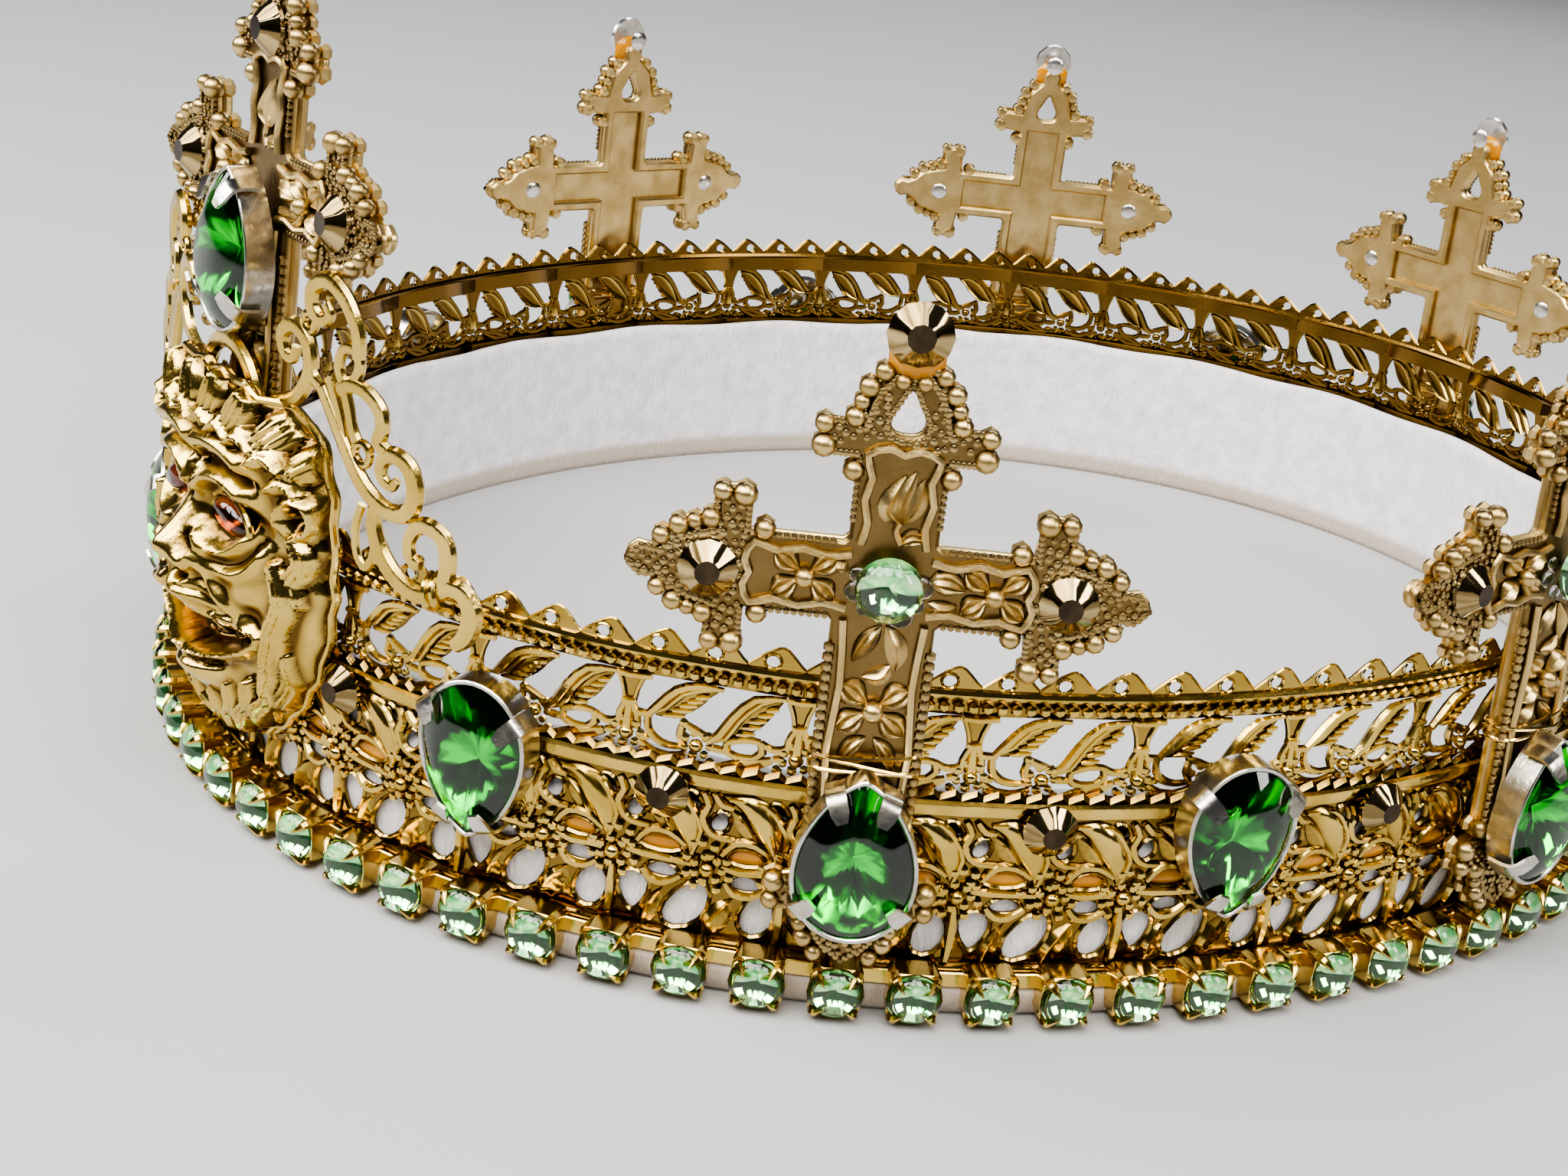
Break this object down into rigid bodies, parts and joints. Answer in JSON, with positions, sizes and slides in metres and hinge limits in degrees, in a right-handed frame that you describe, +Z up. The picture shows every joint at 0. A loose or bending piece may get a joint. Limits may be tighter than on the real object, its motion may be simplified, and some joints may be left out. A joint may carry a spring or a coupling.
{
  "type": "costume crown",
  "caption": "Oval costume crown of pierced gilt strip over a felt lining, with standing crosses, green pear stones, a foot chain of small stones and a lion mask at the front.",
  "frame": {"origin": "under the middle of the whole crown, on the plane of the felt lining's foot", "axes": "+Z up, -Y towards the lion mask at the front, +X to the right seen from the front"},
  "size_m": [0.173, 0.2028, 0.0812],
  "materials": {
    "felt": "white felt with a soft nap",
    "gilt": "polished yellow gilt",
    "antique_gilt": "antique gilt casting, darker in its hollows",
    "emerald_glass": "cut green glass in a silver setting",
    "peridot_glass": "cut light green glass in gilt cups",
    "bronze_glass": "faceted bronze mirror coat",
    "ruby_glass": "cut red glass"
  },
  "bodies": {
    "root": {"felt_lining": "felt", "lower_lace": "gilt", "upper_lace": "gilt", "cup_chain": "peridot_glass", "cross_1": "antique_gilt", "cross_2": "antique_gilt", "cross_3": "antique_gilt", "cross_4": "antique_gilt", "cross_5": "antique_gilt", "cross_6": "antique_gilt", "cross_7": "antique_gilt", "cross_8": "antique_gilt", "pear_cross_1": "emerald_glass", "pear_cross_2": "emerald_glass", "pear_cross_3": "emerald_glass", "pear_cross_4": "emerald_glass", "pear_cross_5": "emerald_glass", "pear_cross_6": "emerald_glass", "pear_cross_7": "emerald_glass", "pear_cross_8": "emerald_glass", "pear_between_1": "emerald_glass", "pear_between_2": "emerald_glass", "pear_between_3": "emerald_glass", "pear_between_4": "emerald_glass", "pear_between_5": "emerald_glass", "pear_between_6": "emerald_glass", "pear_between_7": "emerald_glass", "pear_between_8": "emerald_glass", "bronze_stone_1": "bronze_glass", "bronze_stone_2": "bronze_glass", "bronze_stone_3": "bronze_glass", "bronze_stone_4": "bronze_glass", "bronze_stone_5": "bronze_glass", "bronze_stone_6": "bronze_glass", "bronze_stone_7": "bronze_glass", "bronze_stone_8": "bronze_glass", "bronze_stone_9": "bronze_glass", "bronze_stone_10": "bronze_glass", "bronze_stone_11": "bronze_glass", "bronze_stone_12": "bronze_glass", "bronze_stone_13": "bronze_glass", "bronze_stone_14": "bronze_glass", "bronze_stone_15": "bronze_glass", "bronze_stone_16": "bronze_glass", "scroll_plate": "gilt", "lion_mask": "gilt", "eye_stone_left": "ruby_glass", "eye_stone_right": "ruby_glass"}
  },
  "joints": []
}
